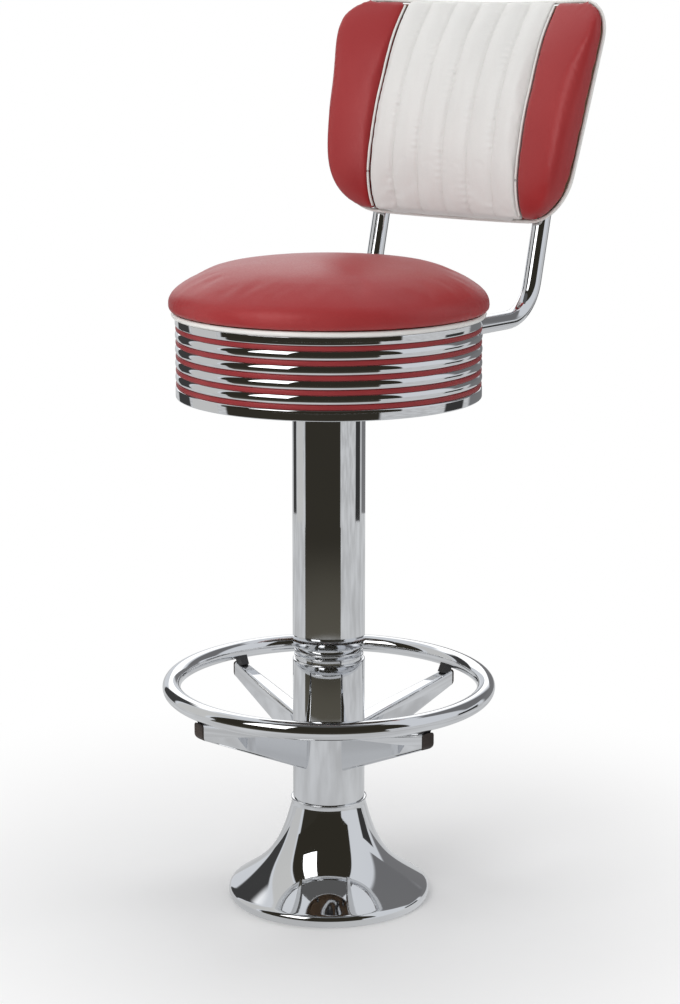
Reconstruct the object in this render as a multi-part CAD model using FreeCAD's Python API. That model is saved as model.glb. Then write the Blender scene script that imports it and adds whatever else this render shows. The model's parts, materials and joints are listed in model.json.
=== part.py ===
import FreeCAD, Part
import math
import os

V = FreeCAD.Vector
axis_x, axis_y, axis_z = V(1, 0, 0), V(0, 1, 0), V(0, 0, 1)
tiny = 1e-6                  # two places nearer than this are the same place

# Frame: origin on the column's axis at floor level, +Z up, the sitter faces -Y.
# Sizes in millimetres, angles in degrees. Heights are above the floor.

# Floor flange under the bell
flange_t = 8.0
flange_in = 13.0             # flange edge inside the bell's rim
anchor_pcd = 170.0
anchor_count = 4
anchor_hole_r = 5.5
socket_wall = 8.0
socket_h = 40.0
weld_leg = 3.0
small_chamfer = 1.2

# Column
post_r = 30.15
post_wall = 4.0
column_r = 44.45             # outside of the two chrome tubes, 3 1/2 inch tube
sleeve_wall = 2.5
sleeve_top = 306.0
tube_wall = 2.0
column_top = 693.4
fit_gap = 0.1                # turned pieces that are pushed into a tube
spacer_h = 10.0
spacer_heights = (80.0, 175.0, 270.0)

# Bell cover: how far each knot of the flare lies outside the neck, and its height
bell_wall = 1.2
bell_neck_gap = 0.15
bell_neck_bottom = 121.0
bell_neck_top = 126.0
bell_bead_r = 1.4
bell_lean = 14.0             # of the flare's start, away from straight down
bell_flare = ((11.3, 84.0), (30.7, 50.0), (75.5, 14.0), (79.6, 5.0), (77.6, 0.0))
bell_rim = 79.6              # widest place, beyond the neck

# Collar where the upper tube meets the lower sleeve
collar_h = 17.0
collar_in = 2.9              # waist of the collar inside the tubes' outside
collar_bead_r = 2.2
collar_bead_heights = (5.5, 11.0)
collar_spigot_h = 9.0

# Foot ring and its arms
footring_r = 194.3
footring_tube_r = 11.2
footring_wall = 1.8
arm_count = 4
arm_clock = -14.0            # first arm, from +X
arm_root_bottom = 172.0
arm_root_top = 218.0
arm_tip_bottom = 236.5
arm_tip_top = 256.2
arm_root_w = 24.0
arm_tip_w = 16.3
arm_short = 1.8              # tip inside the foot ring's centre line
arm_tip_corner_r = 7.0       # round lower corner of the tip, seen from the side
arm_wall = 2.0
arm_corner_r = 3.5
arm_root_in = 8.0            # the raw bar starts this far inside the column, to be coped round it
cap_t = 2.5
cap_plug = 12.0
cap_gap = 0.2
ring_gap = 3.0               # between the arm's top and the foot ring
saddle_l = 11.0
saddle_w = 11.0
saddle_in = 7.0              # its inner side from the line that it leans along
saddle_top = 8.0             # top of the raw block under the ring's centre
saddle_lean = 24.0           # away from upright, so that it meets the arm inside its tip

# Swivel bearing
spindle_r = 12.5
spindle_end_r = 10.0
running_gap = 0.05
bush_wall = 5.0
bush_l = 30.0
housing_l = 100.0
housing_relief_r = 14.5
housing_flange_t = 8.0
race_r = 38.0
race_bore_r = 20.0
race_t = 3.0
ball_r = 3.0
ball_count = 12
ball_circle_r = 29.0
thrust_play = 0.1
cage_t = 1.6
cage_gap = 0.15
cage_in = 2.0                # cage's rims inside the races' rims
hub_t = 8.0
washer_r = 18.0
washer_t = 2.5
end_play = 0.3
nut_flats = 30.0
nut_t = 12.0
spindle_tail = 3.0

# Seat
plate_t = 4.0
plate_gap = 8.9              # between the swivel plate and the clamps' feet
plate_corner_r = 15.0
plate_hole_in = 14.0         # screw holes inside the plate's edge
board_gap = 1.0              # between the board's edge and the ring
board_t = 12.0
cushion_out = 7.6            # waist beyond the seat ring
cushion_waist = 11.3         # height of the widest place over the board
cushion_draw = 5.5           # seam inside the waist
cushion_lap = 0.8            # cover below the board's top
# Knots of the crown: in from the waist, and up from the board
cushion_top = 61.9
cushion_knots = ((82.0, 55.2), (32.0, 41.2), (6.5, 24.5))
welt_r = 3.0
welt_in = 6.3                # welt's centre line inside the cushion's waist

# Ribbed seat ring
seat_ring_r = 184.4          # crest of the ribs
seat_ring_wall = 1.2
rib_depth = 2.2
strip_count = 5
strip_h = 5.6
rib_h = 11.25
top_band = 10.5
bottom_band = 13.0
ring_rise = 5.0              # ring's top edge above the board's underside
band_edge_r = 1.4
strip_t = 1.0
bracket_count = 4
bracket_leg = 24.0
bracket_drop = 28.0
bracket_t = 2.0
bracket_angle = 7.0
bracket_screw_in = 10.0

# Back frame
frame_r = 11.0
frame_wall = 1.5
frame_half = 125.0
front_gap = 4.0              # between the swivel plate and the frame's front run
frame_bend_r = 56.0
post_end = 92.0              # up the back from its middle
hole_gap = 1.0
clamp_t = 2.0
clamp_w = 20.0
clamp_foot = 13.0
clamp_past_bend = 1.0        # front clamps behind the frame's front bends
clamp_clear = 7.6            # between the rear clamps' corners and the seat ring

# Backrest, in its own frame: u to the side, v up the back, w to the sitter
back_y = 275.0
back_z = 963.0
recline = 13.5
board_bend_r = 700.0
back_board_t = 10.0
back_board_w = -7.0          # front of the board at its middle
back_top = 139.0
back_bottom = -136.5
back_top_half = 205.0
back_bottom_half = 177.0
back_top_corner = 50.0
back_bottom_corner = 58.0
board_in = 7.0
post_behind = 21.0           # posts' centre behind the back's own plane
spacer_low = 75.0            # lower screws above the back's bottom edge
spacer_high = 22.0           # upper screws below the posts' ends
back_spacer_r = 9.0
back_reach = 90.0            # cutters and blanks run this far past the back's plane
centre_half = 115.0
channel_count = 6
channel_crown = 3.0
seam_gap = 0.4
least_edge = 0.6             # least thickness of the padding beside a seam
cheek_roll = 11.0            # the cheek's front edge inside its widest place
cheek_bulge = 2.0
cheek_share = 0.92           # thickness at the cheek's front edge against that at the white section
cheek_least = 3.0
cheek_front_bow = 0.06       # of the cheek's depth
cheek_side_bow = 0.12
cheek_corner_bow = 0.25      # of its roll
cheek_edge_in = 1.5          # its back edge inside the outline
# Height v up the back, and how far the front's seams stand out from the back's plane there
back_crown = ((-135.0, 9.0), (-127.0, 16.5), (-112.0, 25.5), (-72.0, 36.0), (-8.0, 38.0),
              (54.0, 30.0), (101.0, 18.0), (126.0, 7.5), (137.5, 1.0))
front_bend_r = 2500.0        # the front is bent less than the board
rear_cover = 3.0             # padding behind the posts
rear_slope_in = 26.0         # least width of the rear's sloping border
rear_bulge = 0.07
rear_crown = 2.0
rear_edge_in = 1.0
pad_gap = 0.3                # rear padding round the posts
rear_levels = ((-135.0, 0.35), (-126.0, 0.75), (-96.0, 1.0), (0.0, 1.08), (96.0, 1.0),
               (126.0, 0.75), (137.5, 0.35))
back_welt = 4.6
welt_out = 0.8
inner_welt_r = 1.3
inner_welt_spans = 24
inner_welt_out = 0.6         # its centre line in front of the padding

# Screws
screw_r = 2.5
screw_head_r = 4.8
screw_head_h = 2.6
wood_bite = 9.0

# Worked-out places
neck_r = column_r + bell_neck_gap + bell_wall
flange_r = neck_r + bell_rim - flange_in
collar_bottom = sleeve_top
tube_bottom = collar_bottom + collar_h
housing_top = column_top + housing_flange_t
ball_z = housing_top + race_t + ball_r
hub_bottom = ball_z + ball_r + thrust_play + race_t
plate_bottom = hub_bottom + hub_t
board_bottom = plate_bottom + plate_t
board_top = board_bottom + board_t
ring_top = board_bottom + ring_rise
ring_groove_r = seat_ring_r - rib_depth
ring_inner_r = ring_groove_r - seat_ring_wall
board_r = ring_inner_r - board_gap
cushion_waist_r = seat_ring_r + cushion_out
cushion_seam_r = cushion_waist_r - cushion_draw
first_strip = ring_top - top_band
frame_z = board_bottom - frame_r
clamp_half = frame_r + fit_gap + clamp_t + clamp_foot
plate_half = frame_half - clamp_half - plate_gap
plate_hole = plate_half - plate_hole_in
frame_front = plate_half + front_gap + frame_r
clamp_corner_y = math.sqrt((ring_inner_r - clamp_clear) ** 2 - (frame_half + clamp_half) ** 2)
front_clamp_y = frame_bend_r - frame_front + clamp_w / 2 + clamp_past_bend
clamp_places = (front_clamp_y, clamp_corner_y - clamp_w / 2)
arm_tip_r = footring_r - arm_short
arm_slope = math.atan2(arm_tip_top - arm_root_top, arm_tip_r - column_r)
arm_top_at_ring = arm_root_top + (footring_r - column_r) * math.tan(arm_slope)
ring_z = arm_top_at_ring + (ring_gap + footring_tube_r) / math.cos(arm_slope)
saddle_turn = math.radians(saddle_lean)
saddle_rise = math.cos(saddle_turn) - math.sin(saddle_turn) * math.tan(arm_slope)
arm_below_ring = (ring_z - arm_top_at_ring) / saddle_rise
screw_well_r = back_spacer_r + pad_gap
welt_seat = (inner_welt_r + fit_gap) * math.sqrt(2) - seam_gap
lean = math.radians(recline)
back_place = FreeCAD.Placement(V(0, back_y, back_z), FreeCAD.Rotation(axis_x, 90 - recline))


def save(name, shape):
    shape.exportStep("parts/" + name + ".step")
    print(name, len(shape.Solids), round(shape.Volume / 1000.0, 2), shape.isValid())


def group(solids):
    return Part.makeCompound(solids)


def disc(r, z0, z1, x=0.0, y=0.0):
    return Part.makeCylinder(r, z1 - z0, V(x, y, z0))


def sleeve(r_out, r_in, z0, z1):
    return disc(r_out, z0, z1).cut(disc(r_in, z0, z1))


def spin(edges):
    face = Part.Face(Part.Wire(Part.__sortEdges__(edges)))
    return face.revolve(V(0, 0, 0), axis_z, 360)


def at(r, z):
    return V(r, 0, z)


def lines(points):
    return [Part.LineSegment(a, b).toShape() for a, b in zip(points, points[1:]) if a != b]


def closed(points):
    return lines(points + points[:1])


def arc(a, b, c):
    return Part.Arc(a, b, c).toShape()


def turned(points):
    # a piece off the lathe, from its (radius, height) corners
    return spin(closed([at(r, z) for r, z in points]))


def arc_chain(start, heading, knots):
    # arcs in the XZ plane that run on smoothly through the knots; gives edges and headings
    edges, headings, p = [], [heading], start
    for q in knots:
        chord = q - p
        slope = math.atan2(chord.z, chord.x)
        turn = math.remainder(heading - slope, 2 * math.pi)
        side = V(-math.sin(slope), 0, math.cos(slope))
        middle = (p + q) * 0.5 + side * (chord.Length / 2 * math.tan(turn / 2))
        edges.append(arc(p, middle, q))
        heading = slope - turn
        headings.append(heading)
        p = q
    return edges, headings


def around(shape, count, first=0.0):
    copies = []
    for i in range(count):
        copy = shape.copy()
        copy.rotate(V(0, 0, 0), axis_z, first + 360.0 * i / count)
        copies.append(copy)
    return copies


def pan_screw(length, r=screw_r, head_r=screw_head_r, head_h=screw_head_h):
    # shank up +Z from the seat of the head, which hangs below z = 0
    head = spin([
        arc(at(0, -head_h), at(head_r * 0.75, -head_h * 0.75), at(head_r, 0)),
        Part.LineSegment(at(head_r, 0), at(0, 0)).toShape(),
        Part.LineSegment(at(0, 0), at(0, -head_h)).toShape()])
    return head.fuse(disc(r, 0, length))


def rounded_plate(half, corner_r, z0, z1):
    plate = Part.makeBox(2 * half, 2 * half, z1 - z0, V(-half, -half, z0))
    upright = [e for e in plate.Edges if abs(e.tangentAt(0).z) > 0.9]
    return plate.makeFillet(corner_r, upright)


# Pedestal
def floor_flange():
    plate = turned([(0, 0), (flange_r, 0), (flange_r, flange_t), (0, flange_t)])
    socket_top = flange_t + socket_h
    socket = turned([
        (post_r + fit_gap, flange_t), (post_r + socket_wall + weld_leg, flange_t),
        (post_r + socket_wall, flange_t + weld_leg), (post_r + socket_wall, socket_top - small_chamfer),
        (post_r + socket_wall - small_chamfer, socket_top), (post_r + fit_gap, socket_top)])
    body = plate.fuse(socket)
    hole = disc(anchor_hole_r, 0, flange_t, anchor_pcd / 2)
    for cutter in around(hole, anchor_count, 180.0 / anchor_count):
        body = body.cut(cutter)
    return body


def bell_cover():
    # spun sheet: the outer line is a chain of arcs and the inner one runs parallel to it
    start = at(neck_r, bell_neck_bottom)
    heading = math.radians(bell_lean - 90)
    knots = [at(neck_r + out, z) for out, z in bell_flare]
    outer, headings = arc_chain(start, heading, knots)
    inner_ends = []
    for p, turn in zip([start] + knots, headings):
        inner_ends.append(p + V(math.sin(turn), 0, -math.cos(turn)) * bell_wall)
    inner_ends[-1].z = 0
    inner, _ = arc_chain(inner_ends[0], heading, inner_ends[1:])
    rim = Part.LineSegment(knots[-1], inner_ends[-1]).toShape()
    neck = Part.LineSegment(start, inner_ends[0]).toShape()
    shell = spin(outer + [rim] + inner + [neck])
    collar = sleeve(neck_r, neck_r - bell_wall, bell_neck_bottom - bell_wall, bell_neck_top)
    bead = Part.makeTorus(neck_r, bell_bead_r, V(0, 0, bell_neck_top))
    bore = disc(column_r + bell_neck_gap, 0, bell_neck_top + 2 * bell_bead_r)
    return shell.fuse([collar, bead]).cut(bore)


def tube_with_lip(r, wall, z0, z1, lip_at_top):
    body = sleeve(r, r - wall, z0, z1)
    z = z1 if lip_at_top else z0
    outside = 2 * math.pi * r
    rim = [e for e in body.Edges if abs(e.CenterOfMass.z - z) < tiny and abs(e.Length - outside) < tiny]
    return body.makeFillet(0.7 * wall, rim)


def spacer(z):
    c = small_chamfer
    r_in, r_out = post_r + fit_gap, column_r - sleeve_wall - fit_gap
    return turned([(r_in, z), (r_out - c, z), (r_out, z + c),
                   (r_out, z + spacer_h - c), (r_out - c, z + spacer_h), (r_in, z + spacer_h)])


def collar_ring():
    r_in = post_r + fit_gap
    r_waist = column_r - collar_in
    r_low, r_high = column_r - sleeve_wall - fit_gap, column_r - tube_wall - fit_gap
    z0, z1 = collar_bottom, collar_bottom + collar_h
    low, high = min(r_low, r_waist), min(r_high, r_waist)
    body = turned([(r_in, z0 - collar_spigot_h), (low, z0 - collar_spigot_h), (low, z0),
                   (r_waist, z0), (r_waist, z1), (high, z1), (high, z1 + collar_spigot_h),
                   (r_in, z1 + collar_spigot_h)])
    beads = [Part.makeTorus(r_waist, collar_bead_r, V(0, 0, z0 + h)) for h in collar_bead_heights]
    return body.fuse(beads)


def arm_height(x):
    # the arm's bottom and top at a distance x from the column's axis
    t = (x - column_r) / (arm_tip_r - column_r)
    bottom = arm_root_bottom + t * (arm_tip_bottom - arm_root_bottom)
    top = arm_root_top + t * (arm_tip_top - arm_root_top)
    return bottom, top


def arm_half(x):
    t = (x - column_r) / (arm_tip_r - column_r)
    return (arm_root_w + t * (arm_tip_w - arm_root_w)) / 2


def arm_bar(inset, x_end):
    # a bar that tapers in both views, with round long corners
    x0 = column_r - arm_root_in
    low0, high0 = arm_height(x0)
    low1, high1 = arm_height(x_end)
    half0, half1 = arm_half(x0) - inset, arm_half(x_end) - inset
    side = [V(x0, -arm_root_w, low0 + inset), V(x_end, -arm_root_w, low1 + inset),
            V(x_end, -arm_root_w, high1 - inset), V(x0, -arm_root_w, high0 - inset)]
    plan = [V(x0, -half0, low0), V(x_end, -half1, low0), V(x_end, half1, low0), V(x0, half0, low0)]
    bar = Part.Face(Part.Wire(closed(side))).extrude(V(0, 2 * arm_root_w, 0))
    bar = bar.common(Part.Face(Part.Wire(closed(plan))).extrude(V(0, 0, high1 - low0)))
    long_edges = [e for e in bar.Edges if abs(e.tangentAt(0).x) > 0.5]
    return bar.makeFillet(arm_corner_r - inset / 2, long_edges)


def arm_end(x_end, corner_r):
    # everything inboard of the arm's end, which is cut square with a round lower corner
    tip_low = arm_height(x_end)[0]
    side = [V(0, -arm_root_w, arm_height(0)[0]), V(x_end, -arm_root_w, tip_low),
            V(x_end, -arm_root_w, ring_z), V(0, -arm_root_w, ring_z)]
    block = Part.Face(Part.Wire(closed(side))).extrude(V(0, 2 * arm_root_w, 0))
    corner = [e for e in block.Edges if abs(e.CenterOfMass.x - x_end) < tiny
              and abs(e.CenterOfMass.z - tip_low) < tiny]
    return block.makeFillet(corner_r, corner)


def foot_arm():
    outer = arm_bar(0, arm_tip_r + cap_t).common(arm_end(arm_tip_r, arm_tip_corner_r))
    root = disc(column_r, arm_root_bottom - arm_root_w, arm_root_top + arm_root_w)
    return outer.cut(arm_bar(arm_wall, arm_tip_r + 2 * cap_t)).cut(root)


def arm_cap():
    cover = arm_bar(0, arm_tip_r + 2 * cap_t).common(arm_end(arm_tip_r + cap_t, arm_tip_corner_r + cap_t))
    cover = cover.cut(arm_end(arm_tip_r, arm_tip_corner_r))
    plug = arm_bar(arm_wall + cap_gap, arm_tip_r + cap_t / 2)
    plug = plug.common(Part.makeBox(cap_plug + cap_t, arm_root_w, arm_root_top,
                                    V(arm_tip_r - cap_plug, -arm_root_w / 2, arm_root_bottom)))
    plug = plug.common(arm_end(arm_tip_r + cap_t / 2, arm_tip_corner_r))
    return cover.fuse(plug)


def foot_ring():
    centre = V(0, 0, ring_z)
    ring = Part.makeTorus(footring_r, footring_tube_r, centre)
    return ring.cut(Part.makeTorus(footring_r, footring_tube_r - footring_wall, centre))


def ring_saddle():
    # welded block between the arm's top and the underside of the ring, leaning out
    low = -arm_below_ring - ring_gap
    block = Part.makeBox(saddle_l, saddle_w, -low - saddle_top, V(-saddle_in, -saddle_w / 2, low))
    block.Placement = FreeCAD.Placement(V(footring_r, 0, ring_z), FreeCAD.Rotation(axis_y, saddle_lean))
    block = block.cut(Part.makeTorus(footring_r, footring_tube_r, V(0, 0, ring_z)))
    return block.cut(arm_bar(0, arm_tip_r + 2 * cap_t))


# Swivel
def bearing_housing():
    r_out = post_r - post_wall - fit_gap
    bore = spindle_r + running_gap + bush_wall + fit_gap / 2
    z0, z1 = column_top - housing_l, housing_top
    return turned([
        (bore, z0), (r_out, z0), (r_out, column_top), (column_r, column_top),
        (column_r, z1 - small_chamfer), (column_r - small_chamfer, z1), (bore, z1), (bore, z1 - bush_l),
        (housing_relief_r, z1 - bush_l), (housing_relief_r, z0 + bush_l), (bore, z0 + bush_l)])


def bush(z0):
    r_in = spindle_r + running_gap
    return sleeve(r_in + bush_wall, r_in, z0, z0 + bush_l)


def race(z0):
    return sleeve(race_r, race_bore_r, z0, z0 + race_t)


def balls():
    ball = Part.makeSphere(ball_r, V(ball_circle_r, 0, ball_z))
    return group(around(ball, ball_count))


def ball_cage():
    cage = sleeve(race_r - cage_in, race_bore_r + cage_in, ball_z - cage_t / 2, ball_z + cage_t / 2)
    hole = disc(ball_r + cage_gap, ball_z - cage_t, ball_z + cage_t, ball_circle_r)
    for cutter in around(hole, ball_count):
        cage = cage.cut(cutter)
    return cage


def spindle():
    shoulder = column_top - housing_l - end_play
    tail = shoulder - washer_t - nut_t - spindle_tail
    c = small_chamfer
    return turned([
        (0, tail), (spindle_end_r - c, tail), (spindle_end_r, tail + c), (spindle_end_r, shoulder),
        (spindle_r, shoulder), (spindle_r, hub_bottom), (race_r, hub_bottom),
        (race_r, plate_bottom), (0, plate_bottom)])


def spindle_washer():
    top = column_top - housing_l - end_play
    return sleeve(washer_r, spindle_end_r + fit_gap, top - washer_t, top)


def spindle_nut():
    top = column_top - housing_l - end_play - washer_t
    corner = nut_flats / math.sqrt(3)
    ring = [V(corner * math.cos(math.radians(60 * i)), corner * math.sin(math.radians(60 * i)), top - nut_t)
            for i in range(6)]
    body = Part.Face(Part.Wire(closed(ring))).extrude(V(0, 0, nut_t))
    low = top - nut_t
    cone = turned([(0, low), (corner - 2 * small_chamfer, low), (corner, low + small_chamfer),
                   (corner, top), (0, top)])
    return body.common(cone).cut(disc(spindle_end_r + fit_gap, top - nut_t, top))


# Seat
def plate_screw_places():
    return [(sx * plate_hole, sy * plate_hole) for sx in (-1, 1) for sy in (-1, 1)]


def clamp_screw_places():
    out = frame_r + clamp_t + clamp_foot / 2
    return [(s * (frame_half + side * out), y) for s in (-1, 1) for side in (-1, 1) for y in clamp_places]


def bracket_screw_places():
    r = ring_inner_r - bracket_leg + bracket_screw_in
    turns = [math.radians(360.0 * i / bracket_count) for i in range(bracket_count)]
    return [(r * math.cos(t), r * math.sin(t)) for t in turns]


def screws_up(places, seat_z, grip):
    screws = []
    for x, y in places:
        screw = pan_screw(grip + wood_bite)
        screw.translate(V(x, y, seat_z))
        screws.append(screw)
    return screws


def plate_screws():
    return screws_up(plate_screw_places(), plate_bottom, plate_t)


def clamp_screws():
    return screws_up(clamp_screw_places(), board_bottom - clamp_t, clamp_t)


def bracket_screws():
    return screws_up(bracket_screw_places(), board_bottom - bracket_t, bracket_t)


def swivel_plate():
    plate = rounded_plate(plate_half, plate_corner_r, plate_bottom, board_bottom)
    for x, y in plate_screw_places():
        plate = plate.cut(disc(screw_r + fit_gap, plate_bottom, board_bottom, x, y))
    return plate


def seat_board():
    c = small_chamfer
    board = turned([(0, board_bottom), (board_r - c, board_bottom), (board_r, board_bottom + c),
                    (board_r, board_top - c), (board_r - c, board_top), (0, board_top)])
    for x, y in plate_screw_places() + clamp_screw_places() + bracket_screw_places():
        board = board.cut(disc(screw_r, board_bottom, board_bottom + wood_bite, x, y))
    return board


def seat_cushion():
    # crown out from the middle, over the shoulder to the waist, then drawn in to the welt
    top = at(0, board_top + cushion_top)
    knots = [at(cushion_waist_r - dr, board_top + dz) for dr, dz in cushion_knots]
    seam = at(cushion_seam_r, board_top - cushion_lap)
    knots += [at(cushion_waist_r, board_top + cushion_waist), seam]
    edges, _ = arc_chain(top, 0.0, knots)
    inside = board_r + fit_gap
    return spin(edges + lines([seam, at(inside, seam.z), at(inside, board_top), at(0, board_top), top]))


def seat_welt():
    return Part.makeTorus(cushion_waist_r - welt_in, welt_r, V(0, 0, board_top - cushion_lap - welt_r))


def strip_top(i):
    return first_strip - i * (strip_h + rib_h)


def frame_holes():
    holes = []
    for s in (-1, 1):
        hole = Part.makeCylinder(frame_r + hole_gap, 2 * frame_half, V(s * frame_half, 0, frame_z), axis_y)
        holes.append(hole)
    return holes


def band_corner(z, up):
    # quarter round from a band's end face at z to its outside
    e, r = band_edge_r, seat_ring_r
    k = e * (1 - math.sqrt(0.5))
    return arc(at(r - e, z), at(r - k, z + up * k), at(r, z + up * e))


def seat_ring():
    # one rolled section: flat bands top and bottom, round ribs between the inlay grooves
    e = band_edge_r
    r0, r1, r2 = ring_inner_r, ring_groove_r, seat_ring_r
    last = strip_top(strip_count - 1) - strip_h
    foot = last - bottom_band
    edges = lines([at(r2 - e, ring_top), at(r0, ring_top), at(r0, foot), at(r2 - e, foot)])
    for low, high in ((strip_top(0), ring_top), (foot, last)):
        edges += [band_corner(low, 1), band_corner(high, -1)]
        edges += lines([at(r2, low + e), at(r2, high - e)])
    edges += lines([at(r2 - e, strip_top(0)), at(r1, strip_top(0))])
    edges += lines([at(r2 - e, last), at(r1, last)])
    for i in range(strip_count - 1, -1, -1):
        low, high = strip_top(i) - strip_h, strip_top(i)
        edges += lines([at(r1, low), at(r1, high)])
        if i:
            top = high + rib_h
            edges.append(arc(at(r1, high), at(r2, (high + top) / 2), at(r1, top)))
    ring = spin(Part.__sortEdges__(edges))
    return ring.cut(frame_holes())


def trim_strip(i):
    strip = sleeve(ring_groove_r + strip_t, ring_groove_r, strip_top(i) - strip_h, strip_top(i))
    return strip.cut(frame_holes())


def ring_brackets():
    # rolled angle, spot welded inside the ring and screwed up into the board
    r0, r1 = ring_inner_r - bracket_leg, ring_inner_r
    top = board_bottom
    profile = [at(r0, top), at(r1, top), at(r1, top - bracket_drop), at(r1 - bracket_t, top - bracket_drop),
               at(r1 - bracket_t, top - bracket_t), at(r0, top - bracket_t)]
    bracket = Part.Face(Part.Wire(closed(profile))).revolve(V(0, 0, 0), axis_z, bracket_angle)
    bracket.rotate(V(0, 0, 0), axis_z, -bracket_angle / 2)
    hole = disc(screw_r + fit_gap, top - bracket_t, top, r0 + bracket_screw_in)
    return group(around(bracket.cut(hole), bracket_count))


# Back frame
def bent_tube(points, bend_r, r, wall):
    edges, start = [], points[0]
    for before, corner, after in zip(points, points[1:], points[2:]):
        a, b = (before - corner).normalize(), (after - corner).normalize()
        half = a.getAngle(b) / 2
        trim = bend_r / math.tan(half)
        p, q = corner + a * trim, corner + b * trim
        inward = (a + b).normalize()
        middle = corner + inward * (bend_r / math.sin(half) - bend_r)
        edges.append(Part.LineSegment(start, p).toShape())
        edges.append(arc(p, middle, q))
        start = q
    edges.append(Part.LineSegment(start, points[-1]).toShape())
    path = Part.Wire(edges)
    normal = points[1] - points[0]
    solids = []
    for radius in (r, r - wall):
        circle = Part.Wire(Part.makeCircle(radius, points[0], normal))
        solids.append(path.makePipeShell([circle], True, True))
    return solids[0].cut(solids[1])


def frame_points():
    # a point on the posts' axis at v up the back, and where that axis meets the frame's level
    def post_point(v):
        y = back_y + v * math.sin(lean) + post_behind * math.cos(lean)
        z = back_z + v * math.cos(lean) - post_behind * math.sin(lean)
        return y, z
    y_end, z_end = post_point(post_end)
    y_corner = y_end - (z_end - frame_z) * math.tan(lean)
    half = [V(1, y_end, z_end), V(1, y_corner, frame_z), V(1, -frame_front, frame_z)]
    left = [V(-frame_half, p.y, p.z) for p in half]
    right = [V(frame_half, p.y, p.z) for p in reversed(half)]
    return left + right


def spacer_levels():
    return (back_bottom + spacer_low, post_end - spacer_high)


def board_front(u):
    # where the bent board's front lies, w over u
    return back_board_w + board_bend_r - math.sqrt(board_bend_r ** 2 - u ** 2)


def board_back(u):
    # a padding seam behind the bent board
    return back_board_w + board_bend_r - math.sqrt((board_bend_r + back_board_t + seam_gap) ** 2 - u ** 2)


def back_screw_holes():
    holes = []
    for s in (-1, 1):
        for v in spacer_levels():
            hole = Part.makeCylinder(screw_r, 2 * back_reach, V(s * frame_half, v, -back_reach))
            holes.append(hole)
    return holes


def placed(shape):
    shape.Placement = back_place.multiply(shape.Placement)
    return shape


def back_frame():
    tube = bent_tube(frame_points(), frame_bend_r, frame_r, frame_wall)
    return tube.cut([placed(h) for h in back_screw_holes()])


def frame_clamps():
    # saddle straps that hold the frame's two runs up against the board
    top = board_bottom
    r0, r1 = frame_r + fit_gap, frame_r + fit_gap + clamp_t
    z, knee, foot = frame_z, top - clamp_t, clamp_half
    strap_edges = [arc(at(-r1, z), at(0, z - r1), at(r1, z))]
    strap_edges += lines([at(r1, z), at(r1, knee), at(foot, knee), at(foot, top), at(r0, top), at(r0, z)])
    strap_edges += [arc(at(r0, z), at(0, z - r0), at(-r0, z))]
    strap_edges += lines([at(-r0, z), at(-r0, top), at(-foot, top), at(-foot, knee), at(-r1, knee)])
    strap_edges += lines([at(-r1, knee), at(-r1, z)])
    strap = Part.Face(Part.Wire(strap_edges)).extrude(V(0, clamp_w, 0))
    clamps = []
    for s in (-1, 1):
        for y in clamp_places:
            clamp = strap.copy()
            clamp.translate(V(s * frame_half, y - clamp_w / 2, 0))
            for x, hole_y in clamp_screw_places():
                clamp = clamp.cut(disc(screw_r + fit_gap, top - 2 * clamp_t, top, x, hole_y))
            clamps.append(clamp)
    return group(clamps)


# Backrest
def half_width(v, inset=0.0):
    # half of the outline's width at v: tapered sides with round corners
    top, bottom = back_top - inset, back_bottom + inset
    t = (v - back_bottom) / (back_top - back_bottom)
    side = back_bottom_half + t * (back_top_half - back_bottom_half) - inset
    over = max(0.0, v - (top - back_top_corner), (bottom + back_bottom_corner) - v)
    r = back_top_corner if v > 0 else back_bottom_corner
    return side - (r - math.sqrt(max(0.0, r * r - over * over)))


def outline_prism(inset, w0, w1):
    top, bottom = back_top - inset, back_bottom + inset
    ut, ub = back_top_half - inset, back_bottom_half - inset
    corners = [V(-ub, bottom, w0), V(ub, bottom, w0), V(ut, top, w0), V(-ut, top, w0)]
    prism = Part.Face(Part.Wire(closed(corners))).extrude(V(0, 0, w1 - w0))
    for u, v, r in ((ub, bottom, back_bottom_corner), (ut, top, back_top_corner)):
        upright = [e for e in prism.Edges if abs(abs(e.CenterOfMass.x) - u) < tiny
                   and abs(e.CenterOfMass.y - v) < tiny]
        prism = prism.makeFillet(r - inset, upright)
    return prism


def bent_slab(front, back):
    # between two curved sheets parallel to the board's front, at w offsets from it
    length = 2 * back_reach + back_top - back_bottom
    centre = V(0, back_bottom - back_reach, back_board_w + board_bend_r)
    outer = Part.makeCylinder(board_bend_r - back, length, centre, axis_y)
    return outer.cut(Part.makeCylinder(board_bend_r - front, length, centre, axis_y))


def back_board():
    sheet = bent_slab(0, -back_board_t).common(outline_prism(board_in, -back_reach, back_reach))
    return placed(sheet.cut(back_screw_holes()))


def front_face(u, out):
    return out + front_bend_r - math.sqrt(front_bend_r ** 2 - u ** 2)


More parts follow.
